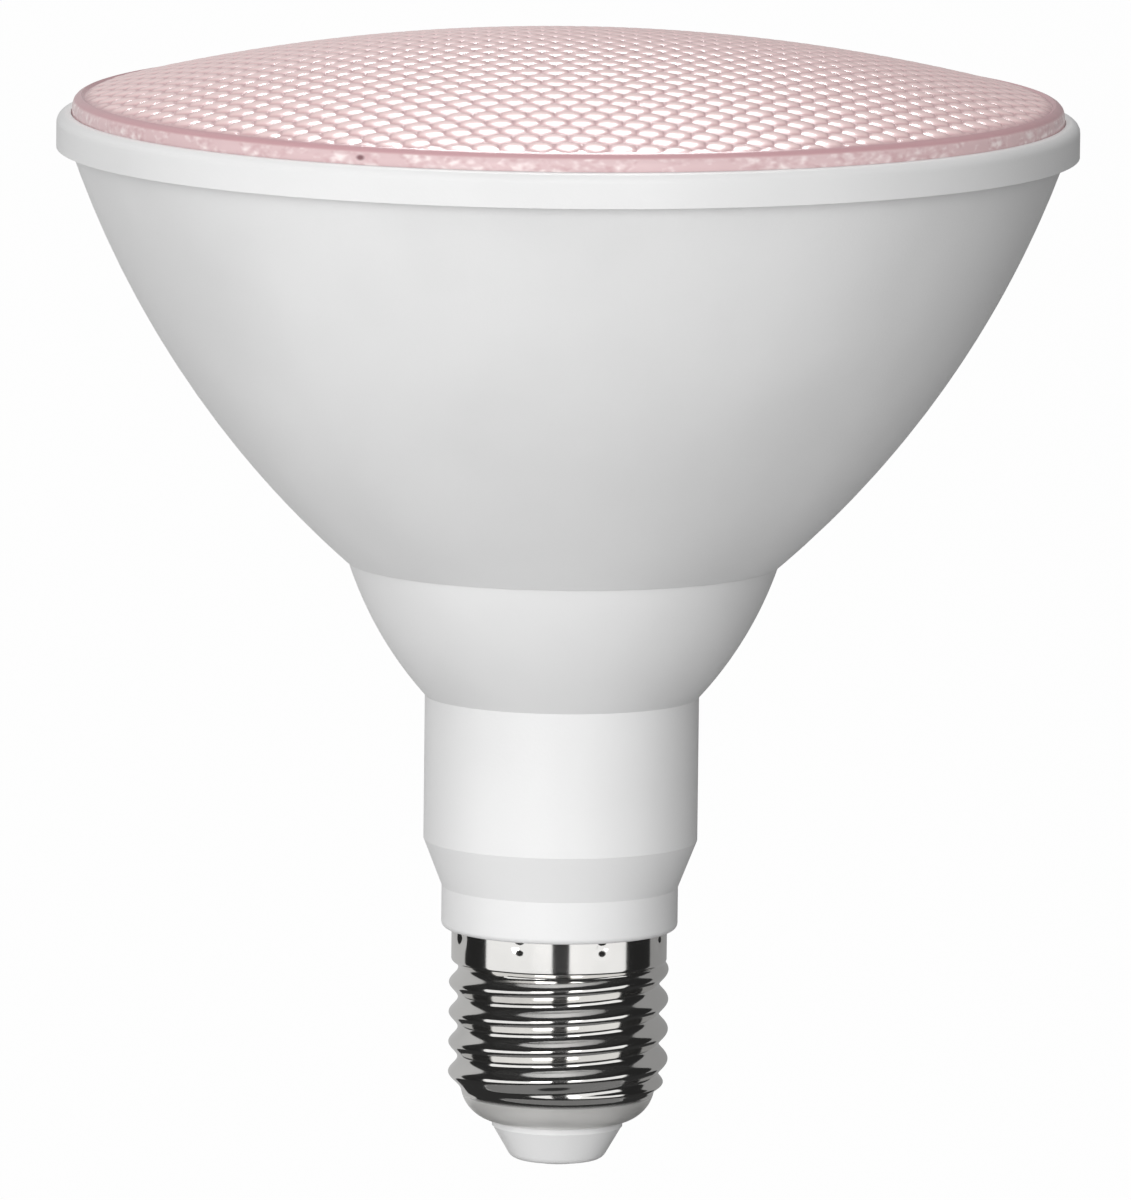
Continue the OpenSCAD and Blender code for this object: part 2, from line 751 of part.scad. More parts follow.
lens();
bezel_ring();
bowl();
reflector();
heat_sink();
thermal_pad();
led_board();
leds_white();
leds_red();
leds_blue();
board_terminal();
board_screws();
led_wire_red();
led_wire_black();
driver_board();
transformer_core();
transformer_winding();
transformer_bobbin();
input_capacitor();
output_capacitor();
film_capacitor();
choke();
rectifier();
driver_chip();
chip_resistors();
fuse_resistor();
live_wire();
neutral_wire();
driver_housing();
screw_shell();
insulator();
centre_contact();
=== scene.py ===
"""Studio scene of a reflector-shaped LED grow lamp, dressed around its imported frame."""

import logging
import math
from dataclasses import dataclass, field
from enum import Enum
from typing import Sequence

import bpy
from mathutils import Matrix, Vector


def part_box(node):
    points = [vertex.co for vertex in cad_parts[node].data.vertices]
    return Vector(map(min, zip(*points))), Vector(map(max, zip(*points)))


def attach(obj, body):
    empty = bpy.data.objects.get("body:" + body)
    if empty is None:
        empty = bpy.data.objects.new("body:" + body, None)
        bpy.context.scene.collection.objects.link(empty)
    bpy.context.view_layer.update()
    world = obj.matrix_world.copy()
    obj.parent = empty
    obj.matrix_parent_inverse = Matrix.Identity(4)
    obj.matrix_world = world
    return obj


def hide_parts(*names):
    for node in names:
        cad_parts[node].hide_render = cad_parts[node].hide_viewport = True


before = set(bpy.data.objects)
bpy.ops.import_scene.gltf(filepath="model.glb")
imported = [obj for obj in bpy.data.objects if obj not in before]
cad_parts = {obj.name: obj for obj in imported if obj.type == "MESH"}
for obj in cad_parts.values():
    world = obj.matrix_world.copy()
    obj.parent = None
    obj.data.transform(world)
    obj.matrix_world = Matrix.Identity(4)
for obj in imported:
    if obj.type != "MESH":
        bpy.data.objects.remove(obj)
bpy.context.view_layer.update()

MM = 0.001
WELD = 0.002 * MM
PLASTIC_IOR = 1.49
ROOT = "root"
LOG = logging.getLogger("grow_lamp")

Colour = tuple[float, float, float]
Point = tuple[float, float, float]
Profile = Sequence[tuple[float, float]]


def cad(node: str) -> bpy.types.Object:
    """Return the object of a CAD node.

    Args:
        node: The node's name.

    Returns:
        The loaded object, which is only dressed and never moved.
    """
    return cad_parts[node]


class Term:
    """A shader socket that takes part in Python expressions."""

    def __init__(self, graph: "Graph", socket: bpy.types.NodeSocket) -> None:
        """Keep the socket and the graph that it belongs to."""
        self.graph = graph
        self.socket = socket

    def _math(self, operation: str, *values: "Term | float") -> "Term":
        """Add one Math node and return its result."""
        return self.graph.node("ShaderNodeMath", {"operation": operation}, dict(enumerate(values)))

    def __add__(self, other: "Term | float") -> "Term":
        """Return the sum."""
        return self._math("ADD", self, other)

    def __radd__(self, other: float) -> "Term":
        """Return the sum with a number on the left."""
        return self._math("ADD", other, self)

    def __sub__(self, other: "Term | float") -> "Term":
        """Return the difference."""
        return self._math("SUBTRACT", self, other)

    def __rsub__(self, other: float) -> "Term":
        """Return the difference with a number on the left."""
        return self._math("SUBTRACT", other, self)

    def __mul__(self, other: "Term | float") -> "Term":
        """Return the product."""
        return self._math("MULTIPLY", self, other)

    def __rmul__(self, other: float) -> "Term":
        """Return the product with a number on the left."""
        return self._math("MULTIPLY", other, self)

    def __truediv__(self, other: "Term | float") -> "Term":
        """Return the quotient."""
        return self._math("DIVIDE", self, other)

    def __pow__(self, other: "Term | float") -> "Term":
        """Return the power."""
        return self._math("POWER", self, other)

    def step(self, low: float, high: float) -> "Term":
        """Return 0 below low, 1 above high and a smooth rise between.

        Args:
            low: Value at which the rise starts.
            high: Value at which the rise ends.

        Returns:
            The stepped value.
        """
        inputs = {"Value": self, "From Min": low, "From Max": high}
        return self.graph.node("ShaderNodeMapRange", {"interpolation_type": "SMOOTHSTEP"}, inputs)


class Graph:
    """The node tree of one material, built by expressions."""

    def __init__(self, name: str) -> None:
        """Make an empty material with one output node.

        Args:
            name: Name of the material.
        """
        self.material = bpy.data.materials.new(name)
        self.material.use_nodes = True
        self.tree = self.material.node_tree
        self.tree.nodes.clear()
        self.output = self.tree.nodes.new("ShaderNodeOutputMaterial")

    def node(self, kind: str, settings: dict | None = None, inputs: dict | None = None,
             output: int | str = 0) -> Term:
        """Add a node, set it and link it.

        Args:
            kind: Blender's type name of the node.
            settings: Attributes that are set first.
            inputs: Values or terms by the sockets' names or numbers.
            output: Name or number of the socket that is returned.

        Returns:
            The chosen output as a term.
        """
        made = self.tree.nodes.new(kind)
        for key, value in (settings or {}).items():
            setattr(made, key, value)
        for key, value in (inputs or {}).items():
            socket = made.inputs[key]
            if isinstance(value, Term):
                self.tree.links.new(value.socket, socket)
            elif isinstance(value, tuple) and len(value) == 3 and socket.type == "RGBA":
                socket.default_value = (*value, 1.0)
            else:
                socket.default_value = value
        return Term(self, made.outputs[output])

    def place(self) -> Term:
        """Return the object coordinates."""
        return self.node("ShaderNodeTexCoord", output="Object")

    def axes(self) -> tuple[Term, Term, Term]:
        """Return the three object coordinates as separate terms."""
        return self.axes_of("Object")

    def axes_of(self, kind: str) -> tuple[Term, Term, Term]:
        """Return the three parts of one kind of coordinates."""
        place = self.node("ShaderNodeTexCoord", output=kind)
        split = self.node("ShaderNodeSeparateXYZ", inputs={0: place}).socket.node
        return tuple(Term(self, socket) for socket in split.outputs)

    def attribute(self, name: str) -> Term:
        """Return a value that is stored on the mesh's vertices."""
        return self.node("ShaderNodeAttribute", {"attribute_name": name}, output="Fac")

    def noise(self, scale: float, detail: float = 3.0, where: Term | None = None) -> Term:
        """Return a noise value around 0.5.

        Args:
            scale: Number of blobs in a metre.
            detail: Number of finer layers.
            where: Coordinates, or None for the object's own.

        Returns:
            The noise.
        """
        inputs = {"Vector": where or self.place(), "Scale": scale, "Detail": detail}
        return self.node("ShaderNodeTexNoise", inputs=inputs)

    def cells(self, feature: str, scale: float, where: Term) -> Term:
        """Return a distance in a cell pattern.

        Args:
            feature: Kind of distance, to the cell's point or to its edge.
            scale: Number of cells in a metre.
            where: Coordinates.

        Returns:
            The distance.
        """
        inputs = {"Vector": where, "Scale": scale}
        return self.node("ShaderNodeTexVoronoi", {"feature": feature}, inputs, output="Distance")

    def blend(self, factor: Term | float, low: Term | Colour, high: Term | Colour) -> Term:
        """Return a colour between two others.

        Args:
            factor: 0 for the first colour and 1 for the second.
            low: First colour.
            high: Second colour.

        Returns:
            The mixed colour.
        """
        made = self.tree.nodes.new("ShaderNodeMix")
        made.data_type = "RGBA"
        for socket, value in ((made.inputs[0], factor), (made.inputs[6], low), (made.inputs[7], high)):
            if isinstance(value, Term):
                self.tree.links.new(value.socket, socket)
            else:
                socket.default_value = value if socket.type == "VALUE" else (*value, 1.0)
        return Term(self, made.outputs[2])

    def bump(self, height: Term, distance: float) -> Term:
        """Return a normal that follows a height.

        Args:
            height: Height from 0 to 1.
            distance: Depth in metres of a height of 1.

        Returns:
            The normal.
        """
        return self.node("ShaderNodeBump", inputs={"Height": height, "Distance": distance, "Strength": 1.0})

    def principled(self, **sockets: "Term | float | Colour") -> Term:
        """Add the main shader, with underscores for the spaces in its sockets' names."""
        inputs = {key.replace("_", " "): value for key, value in sockets.items()}
        return self.node("ShaderNodeBsdfPrincipled", inputs=inputs)

    def finish(self, shader: Term) -> bpy.types.Material:
        """Link the shader to the output and return the material."""
        self.tree.links.new(shader.socket, self.output.inputs["Surface"])
        return self.material


@dataclass(frozen=True)
class SatinPlastic:
    """Moulded plastic with a faint skin texture and slow changes of gloss."""

    name: str
    colour: Colour
    roughness: float = 0.42
    grain: float = 2600.0
    grain_depth: float = 0.012 * MM

    def build(self) -> bpy.types.Material:
        """Return the material."""
        graph = Graph(self.name)
        cloud = graph.noise(35.0, 2.0)
        skin = graph.noise(self.grain, 2.0)
        shade = tuple(0.93 * part for part in self.colour)
        colour = graph.blend(cloud.step(0.3, 0.75), self.colour, shade)
        rough = self.roughness - 0.05 + cloud * 0.1
        return graph.finish(graph.principled(
            Base_Color=colour, Roughness=rough, IOR=PLASTIC_IOR, Normal=graph.bump(skin, self.grain_depth)))


@dataclass(frozen=True)
class Metal:
    """Bare or plated metal with fine turning lines and light smears."""

    name: str
    colour: Colour
    roughness: float = 0.2
    line_scale: float = 2500.0
    line_depth: float = 0.004 * MM
    dull_below: float = 0.0
    dull_roughness: float = 0.4
    dull_edge: float = 0.3 * MM

    def build(self) -> bpy.types.Material:
        """Return the material, duller below the height dull_below."""
        graph = Graph(self.name)
        x, y, z = graph.axes()
        along = graph.node("ShaderNodeCombineXYZ", inputs={0: x * 0.02, 1: y * 0.02, 2: z})
        lines = graph.noise(self.line_scale, 2.0, along)
        smear = graph.noise(90.0, 4.0)
        shade = tuple(0.86 * part for part in self.colour)
        colour = graph.blend(smear.step(0.35, 0.8), self.colour, shade)
        dull = 1 - z.step(self.dull_below - self.dull_edge, self.dull_below + self.dull_edge)
        return graph.finish(graph.principled(
            Base_Color=colour, Metallic=1 - dull * 0.5,
            Roughness=self.roughness + smear * 0.06 + dull * self.dull_roughness,
            Normal=graph.bump(lines, self.line_depth)))


@dataclass(frozen=True)
class Banded:
    """Wound or printed part with bands along one axis."""

    name: str
    colour: Colour
    band: Colour
    pitch: float
    roughness: float = 0.35

    def build(self) -> bpy.types.Material:
        """Return the material."""
        graph = Graph(self.name)
        _, _, z = graph.axes()
        wave = graph.node("ShaderNodeMath", {"operation": "SINE"}, {0: z * (2 * math.pi / self.pitch)})
        mask = wave * 0.5 + 0.5
        colour = graph.blend(mask, self.colour, self.band)
        return graph.finish(graph.principled(
            Base_Color=colour, Roughness=self.roughness, Normal=graph.bump(mask, self.pitch * 0.15)))


@dataclass(frozen=True)
class CircuitBoard:
    """Solder resist over copper tracks."""

    name: str
    colour: Colour
    track: Colour
    cell: float = 260.0
    track_height: float = 0.04 * MM

    def build(self) -> bpy.types.Material:
        """Return the material."""
        graph = Graph(self.name)
        inputs = {"Vector": graph.place(), "Scale": self.cell}
        cells = graph.node("ShaderNodeTexVoronoi", {"feature": "F1", "distance": "CHEBYCHEV"}, inputs,
                           output="Distance")
        mask = cells.step(0.36, 0.4)
        colour = graph.blend(mask, self.colour, self.track)
        return graph.finish(graph.principled(
            Base_Color=colour, Roughness=0.35, Normal=graph.bump(mask, self.track_height)))


@dataclass(frozen=True)
class LensPlastic:
    """Pink-tinted clear plastic: pale lenslets with painted shade in their grooves and at the bend, a wall
    of painted highlight and shade, and a painted glow.
    """

    name: str
    pale: Colour = (0.90, 0.68, 0.67)
    groove: Colour = (0.65, 0.44, 0.45)
    bend: Colour = (0.54, 0.33, 0.35)
    wall: Colour = (0.68, 0.51, 0.52)
    wall_highlight: Colour = (0.90, 0.81, 0.80)
    spot: Colour = (0.22, 0.12, 0.13)
    wall_radius: float = 59.2 * MM
    wall_squash: float = 1.6
    patch_scale: float = 230.0
    streak_scale: float = 900.0
    streak_share: float = 0.25
    spot_scale: float = 95.0
    chain_scale: float = 420.0
    chain_share: float = 0.55
    glow: float = 0.12

    def build(self) -> bpy.types.Material:
        """Return the material."""
        graph = Graph(self.name)
        # The grooves between the lenslets are painted darker: painted shade in the recesses.
        groove = graph.attribute("groove")
        field_colour = graph.blend(groove.step(0.0, 0.9), self.pale, self.groove)
        # The clear wall gets its own colour of painted highlight and shade.
        colour = graph.blend(graph.attribute("wall"), field_colour, self.wall_colour(graph))
        # The bend from dome to wall is painted dark: a painted shade line along the rim.
        colour = graph.blend(graph.attribute("bend"), colour, self.bend)
        # The lens emits its own colour faintly: a painted glow, as the LEDs are not lit.
        return graph.finish(graph.principled(
            Base_Color=colour, Roughness=0.22, IOR=PLASTIC_IOR, Transmission_Weight=0.1,
            Specular_IOR_Level=0.3, Emission_Color=colour, Emission_Strength=self.glow))

    def wall_colour(self, graph: Graph) -> Term:
        """Return the wall's painted light: patches and streaks of painted highlight, chain marks in the
        painted shade of the bend, and small dark spots.
        """
        x, y, z = graph.axes()
        turn = graph.node("ShaderNodeMath", {"operation": "ARCTAN2"}, {0: y, 1: x})
        unrolled = graph.node("ShaderNodeCombineXYZ",
                              inputs={0: turn * self.wall_radius, 1: z * self.wall_squash})
        patches = graph.noise(self.patch_scale, 2.0, unrolled)
        streaks = graph.noise(self.streak_scale, 1.0, unrolled)
        cloud = patches * (1 - self.streak_share) + streaks * self.streak_share
        # Patches and streaks of painted highlight over the darker wall tone.
        base = graph.blend(cloud.step(0.46, 0.62), self.wall, self.wall_highlight)
        spots = graph.cells("F1", self.spot_scale, unrolled)
        seams = graph.cells("DISTANCE_TO_EDGE", self.chain_scale, unrolled)
        # Chain marks painted in the bend's shade colour, only where the patches run.
        chain = (1 - seams.step(0.02, 0.3)) * patches.step(0.45, 0.55) * self.chain_share
        base = graph.blend(chain, base, self.bend)
        return graph.blend(1 - spots.step(0.03, 0.075), base, self.spot)


@dataclass(frozen=True)
class LedPackage:
    """White moulded package whose well holds a coloured filling."""

    name: str
    filling: Colour
    well_z: float
    well_edge: float = 0.02 * MM
    body: Colour = (0.9, 0.9, 0.87)

    def build(self) -> bpy.types.Material:
        """Return the material."""
        graph = Graph(self.name)
        _, _, z = graph.axes()
        speck = graph.noise(6000.0, 2.0)
        filled = graph.blend(speck, self.filling, tuple(min(1.0, 1.15 * part) for part in self.filling))
        inside = 1 - z.step(self.well_z - self.well_edge, self.well_z + self.well_edge)
        colour = graph.blend(inside, self.body, filled)
        return graph.finish(graph.principled(Base_Color=colour, Roughness=0.3))


class Finish(Enum):
    """The finishes that pieces and CAD nodes share."""

    WHITE = SatinPlastic("white_plastic", (0.81, 0.81, 0.81), 0.40)
    REFLECTOR = SatinPlastic("reflector_white", (0.88, 0.88, 0.87), 0.28)
    IVORY = SatinPlastic("ivory_plastic", (0.78, 0.74, 0.62), 0.35)
    BLACK = SatinPlastic("black_plastic", (0.02, 0.02, 0.022), 0.45)
    FERRITE = SatinPlastic("ferrite", (0.045, 0.045, 0.05), 0.6, 900.0, 0.04 * MM)
    SLEEVE = SatinPlastic("capacitor_sleeve", (0.02, 0.03, 0.11), 0.3)
    FILM = SatinPlastic("film_red", (0.42, 0.03, 0.02), 0.25)
    RESISTOR = SatinPlastic("resistor_body", (0.42, 0.31, 0.17), 0.6)
    PAD = SatinPlastic("pad_silicone", (0.27, 0.36, 0.5), 0.8)
    RED_WIRE = SatinPlastic("wire_red", (0.55, 0.02, 0.02), 0.35)
    BLACK_WIRE = SatinPlastic("wire_black", (0.015, 0.015, 0.015), 0.35)
    BROWN_WIRE = SatinPlastic("wire_brown", (0.12, 0.04, 0.015), 0.35)
    BLUE_WIRE = SatinPlastic("wire_blue", (0.02, 0.06, 0.36), 0.35)
    INSULATOR = SatinPlastic("insulator_white", (0.84, 0.84, 0.84), 0.25)
    ALUMINIUM = Metal("aluminium", (0.78, 0.79, 0.80), 0.32)
    STEEL = Metal("screw_steel", (0.62, 0.62, 0.63), 0.3)
    CAP = Metal("cap_metal", (0.86, 0.85, 0.83), 0.07, dull_below=8.2 * MM, dull_roughness=0.22)
    CONTACT = Metal("contact_metal", (0.42, 0.42, 0.42), 0.4)
    WINDING = Banded("copper_winding", (0.55, 0.33, 0.05), (0.35, 0.2, 0.03), 0.6 * MM)
    GREEN_BOARD = CircuitBoard("board_green", (0.01, 0.12, 0.05), (0.02, 0.2, 0.08))
    WHITE_BOARD = CircuitBoard("board_white", (0.86, 0.86, 0.84), (0.78, 0.78, 0.76))
    LENS = LensPlastic("lens_plastic")


class FinishShelf:
    """Builds each finish once and hands it out."""

    def __init__(self) -> None:
        """Start with nothing built."""
        self.made: dict[str, bpy.types.Material] = {}

    def get(self, finish: "Finish | LedPackage") -> bpy.types.Material:
        """Return the material of a finish.

        Args:
            finish: A shared finish or a package of its own.

        Returns:
            The material, built at the first call.
        """
        recipe = finish.value if isinstance(finish, Finish) else finish
        if recipe.name not in self.made:
            self.made[recipe.name] = recipe.build()
        return self.made[recipe.name]

    def dress(self, piece: bpy.types.Object, finish: "Finish | LedPackage") -> None:
        """Give a whole piece one finish."""
        piece.data.materials.clear()
        piece.data.materials.append(self.get(finish))


class Bench:
    """Modelling steps that the sub-assemblies share, all in edit mode on one active piece."""

    @staticmethod
    def clear() -> None:
        """Leave edit mode and deselect everything."""
        if bpy.context.object and bpy.context.object.mode != "OBJECT":
            bpy.ops.object.mode_set(mode="OBJECT")
        bpy.ops.object.select_all(action="DESELECT")

    @staticmethod
    def pick(piece: bpy.types.Object) -> None:
        """Make one piece the only selected and the active one."""
        Bench.clear()
        piece.select_set(True)
        bpy.context.view_layer.objects.active = piece

    @staticmethod
    def carry_on(start: tuple[float, float], profile: Profile) -> None:
        """Extrude and resize the selected ring from point to point of a profile.

        Args:
            start: Radius and height of the selected ring.
            profile: Radii and heights that follow.
        """
        radius, height = start
        for next_radius, next_height in profile:
            bpy.ops.mesh.extrude_region_move(
                TRANSFORM_OT_translate={"value": (0, 0, next_height - height)})
            ratio = next_radius / radius
            bpy.ops.transform.resize(value=(ratio, ratio, 1), center_override=(0, 0, next_height))
            radius, height = next_radius, next_height

    @staticmethod
    def lathe(name: str, profile: Profile, sides: int = 192) -> bpy.types.Object:
        """Turn a piece from its profile, one extruded and resized ring at a time.

        Args:
            name: Name of the piece.
            profile: Radii and heights in metres; a closed profile ends at its first point.
            sides: Number of sides around the axis.

        Returns:
            The piece, with its origin at the frame's.
        """
        Bench.clear()
        radius, height = profile[0]
        bpy.ops.mesh.primitive_circle_add(vertices=sides, radius=radius, fill_type="NOTHING")
        piece = bpy.context.object
        piece.name = piece.data.name = name
        bpy.ops.object.mode_set(mode="EDIT")
        bpy.ops.mesh.select_all(action="SELECT")
        bpy.ops.transform.translate(value=(0, 0, height))
        Bench.carry_on(profile[0], profile[1:])
        bpy.ops.mesh.select_all(action="SELECT")
        bpy.ops.mesh.remove_doubles(threshold=WELD)
        bpy.ops.mesh.normals_make_consistent(inside=False)
        bpy.ops.object.mode_set(mode="OBJECT")
        return piece

    @staticmethod
    def smooth(piece: bpy.types.Object, degrees: float = 30.0) -> None:
        """Shade a piece smooth, with edges sharper than an angle kept.

        Args:
            piece: The piece.
            degrees: Angle above which an edge stays sharp.
        """
        Bench.pick(piece)
        bpy.ops.object.shade_smooth_by_angle(angle=math.radians(degrees))

    @staticmethod
    def apply_modifiers(piece: bpy.types.Object) -> None:
        """Apply all the modifiers of a piece in their order."""
        Bench.pick(piece)
        for modifier in list(piece.modifiers):
            bpy.ops.object.modifier_apply(modifier=modifier.name)


def arc(centre: tuple[float, float], radius: float, start: float, end: float,
        steps: int) -> list[tuple[float, float]]:
    """Return points along an arc of a profile.

    Args:
        centre: Radius and height of the arc's centre.
        radius: Radius of the arc.
        start: First angle in degrees, from the outward direction towards up.
        end: Last angle in degrees.
        steps: Number of stretches.

    Returns:
        The points, both ends included.
    """
    turns = [math.radians(start + (end - start) * i / steps) for i in range(steps + 1)]
    return [(centre[0] + radius * math.cos(t), centre[1] + radius * math.sin(t)) for t in turns]


@dataclass
class Lens:
    """Domed cover with a hexagonal field of shallow lenslets."""

    shelf: FinishShelf
    pitch: float = 3.2 * MM
    relief: float = 0.22 * MM
    slope_share: float = 0.2
    slope_rise: float = 0.62
    crown_share: float = 0.32
    crown_rise: float = 0.3
    shell: float = 2.2 * MM
    wall: float = 1.9 * MM
    rounding: float = 1.3 * MM
    flange_width: float = 1.0 * MM
    flange_height: float = 1.2 * MM
    dome_rise: float = 7.85 * MM
    edge_margin: float = 1.45 * MM
    fade_width: float = 0.9 * MM
    weld: float = 0.01 * MM
    cuts: int = 96
    mark_slack: float = 0.1 * MM

    def __post_init__(self) -> None:
        """Work out the sizes that follow from the frame."""
        low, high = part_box("lens")
        self.foot, self.top = low[2], high[2]
        self.flange_radius = (high[0] - low[0]) / 2
        self.radius = self.flange_radius - self.flange_width
        self.sphere = (self.radius ** 2 + self.dome_rise ** 2) / (2 * self.dome_rise)
        self.field_radius = self.radius - self.edge_margin

    def dome(self, radius: float, depth: float = 0.0) -> float:
        """Return the height of the dome, or of the surface a depth below it, at a radius."""
        return self.top - self.sphere + math.sqrt((self.sphere - depth) ** 2 - radius ** 2)

    def lenslet(self) -> bpy.types.Object:
        """Model one hexagonal pillow with its foot at height 0."""
        Bench.clear()
        corner = self.pitch / math.sqrt(3)
        bpy.ops.mesh.primitive_circle_add(vertices=12, radius=corner, fill_type="NGON")
        cell = bpy.context.object
        cell.name = "lenslet"
        flat = math.cos(math.radians(30))
        for vertex in list(cell.data.vertices)[1::2]:
            vertex.co *= flat
        bpy.ops.object.mode_set(mode="EDIT")
        bpy.ops.mesh.select_all(action="SELECT")
        for share, rise in ((self.slope_share, self.slope_rise), (self.crown_share, self.crown_rise)):
            bpy.ops.mesh.inset(thickness=corner * share, depth=self.relief * rise)
        bpy.ops.mesh.poke(offset=self.relief * (1 - self.slope_rise - self.crown_rise))
        bpy.ops.object.mode_set(mode="OBJECT")
        return cell

    def field(self) -> bpy.types.Object:
        """Repeat the lenslet over the dome's plan and cut the field round."""
        cell = self.lenslet()
        row_height = self.pitch * math.sqrt(3) / 2
        columns = 2 * math.ceil(self.field_radius / self.pitch) + 2
        rows = math.ceil(self.field_radius / row_height) + 1
        for count, offset in ((columns, (self.pitch, 0, 0)), (2, (self.pitch / 2, row_height, 0)),
                              (rows, (0, 2 * row_height, 0))):
            copies = cell.modifiers.new("copies", "ARRAY")
            copies.count = count
            copies.use_relative_offset = False
            copies.use_constant_offset = True
            copies.constant_offset_displace = offset
            copies.use_merge_vertices = True
            copies.merge_threshold = self.weld
        Bench.apply_modifiers(cell)
        bpy.ops.object.mode_set(mode="EDIT")
        bpy.ops.mesh.select_all(action="SELECT")
        bpy.ops.mesh.remove_doubles(threshold=self.weld)
        shift = (-self.pitch * (columns // 2), -row_height * (rows // 2 * 2), 0)
        bpy.ops.transform.translate(value=shift)
        for i in range(self.cuts):
            turn = 2 * math.pi * i / self.cuts
            normal = (math.cos(turn), math.sin(turn), 0)
            bpy.ops.mesh.select_all(action="SELECT")
            bpy.ops.mesh.bisect(plane_co=tuple(self.field_radius * part for part in normal),
                                plane_no=normal, clear_outer=True, threshold=0.000001)
        bpy.ops.object.mode_set(mode="OBJECT")
        return cell

    def build(self) -> bpy.types.Object:
        """Model the whole lens and dress it."""
        piece = self.field()
        piece.name = piece.data.name = "lens_moulding"
        mesh = piece.data
        for name in ("groove", "bend", "wall"):
            mesh.attributes.new(name, "FLOAT", "POINT")
        for vertex in mesh.vertices:
            radius = vertex.co.xy.length
            fade = min(1.0, max(0.0, (self.field_radius - radius) / self.fade_width))
            height = vertex.co.z * fade
            # How far below the lenslets' tops a point lies, which the material paints as groove shade.
            mesh.attributes["groove"].data[vertex.index].value = 1 - height / self.relief
            vertex.co.z = self.dome(radius) + height - self.relief
        self.rim(piece)
        self.mark_rim(mesh)
        Bench.smooth(piece, 22.0)
        self.shelf.dress(piece, Finish.LENS)
        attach(piece, ROOT)
        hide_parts("lens")
        LOG.info("lens: %d vertices", len(mesh.vertices))
        return piece

    def mark_rim(self, mesh: bpy.types.Mesh) -> None:
        """Mark the bend, which the material paints dark as a painted shade line, and the wall, which it
        paints with highlights and shade.
        """
        wall_top = self.dome(self.radius) - 1.5 * self.mark_slack
        for vertex in mesh.vertices:
            radius, height = vertex.co.xy.length, vertex.co.z
            outer = radius > self.radius - self.wall + self.mark_slack
            wall = outer and height < wall_top
            bend = outer and not wall and radius > self.field_radius - self.mark_slack / 2
            mesh.attributes["wall"].data[vertex.index].value = float(wall)
            mesh.attributes["bend"].data[vertex.index].value = float(bend)

    def rim(self, piece: bpy.types.Object) -> None:
        """Carry the field's edge on over the rim, down the wall, round the flange and up inside."""
        corner = (self.radius - self.rounding, self.dome(self.radius - self.rounding) - 0.95 * self.rounding)
        flange_top = self.foot + self.flange_height
        inner = self.radius - self.wall
        profile = arc(corner, self.rounding, 78, 0, 6)
        profile += [(self.radius, corner[1] - 0.4 * MM), (self.radius, corner[1] - 0.8 * MM),
                    (self.radius, flange_top), (self.flange_radius, flange_top),
                    (self.flange_radius, self.foot), (inner, self.foot)]
        profile += [(inner * share, self.dome(inner * share, self.shell))
                    for share in (1, 0.97, 0.9, 0.75, 0.55, 0.3, 0.1)]
        Bench.pick(piece)
        bpy.ops.object.mode_set(mode="EDIT")
        bpy.context.tool_settings.mesh_select_mode = (False, True, False)
        bpy.ops.mesh.select_all(action="SELECT")
        bpy.ops.mesh.region_to_loop()
        Bench.carry_on((self.field_radius, self.dome(self.field_radius) - self.relief), profile)
        bpy.ops.mesh.merge(type="CENTER")
        bpy.ops.mesh.select_all(action="SELECT")
        bpy.ops.mesh.normals_make_consistent(inside=False)
        bpy.context.tool_settings.mesh_select_mode = (True, False, False)
        bpy.ops.object.mode_set(mode="OBJECT")


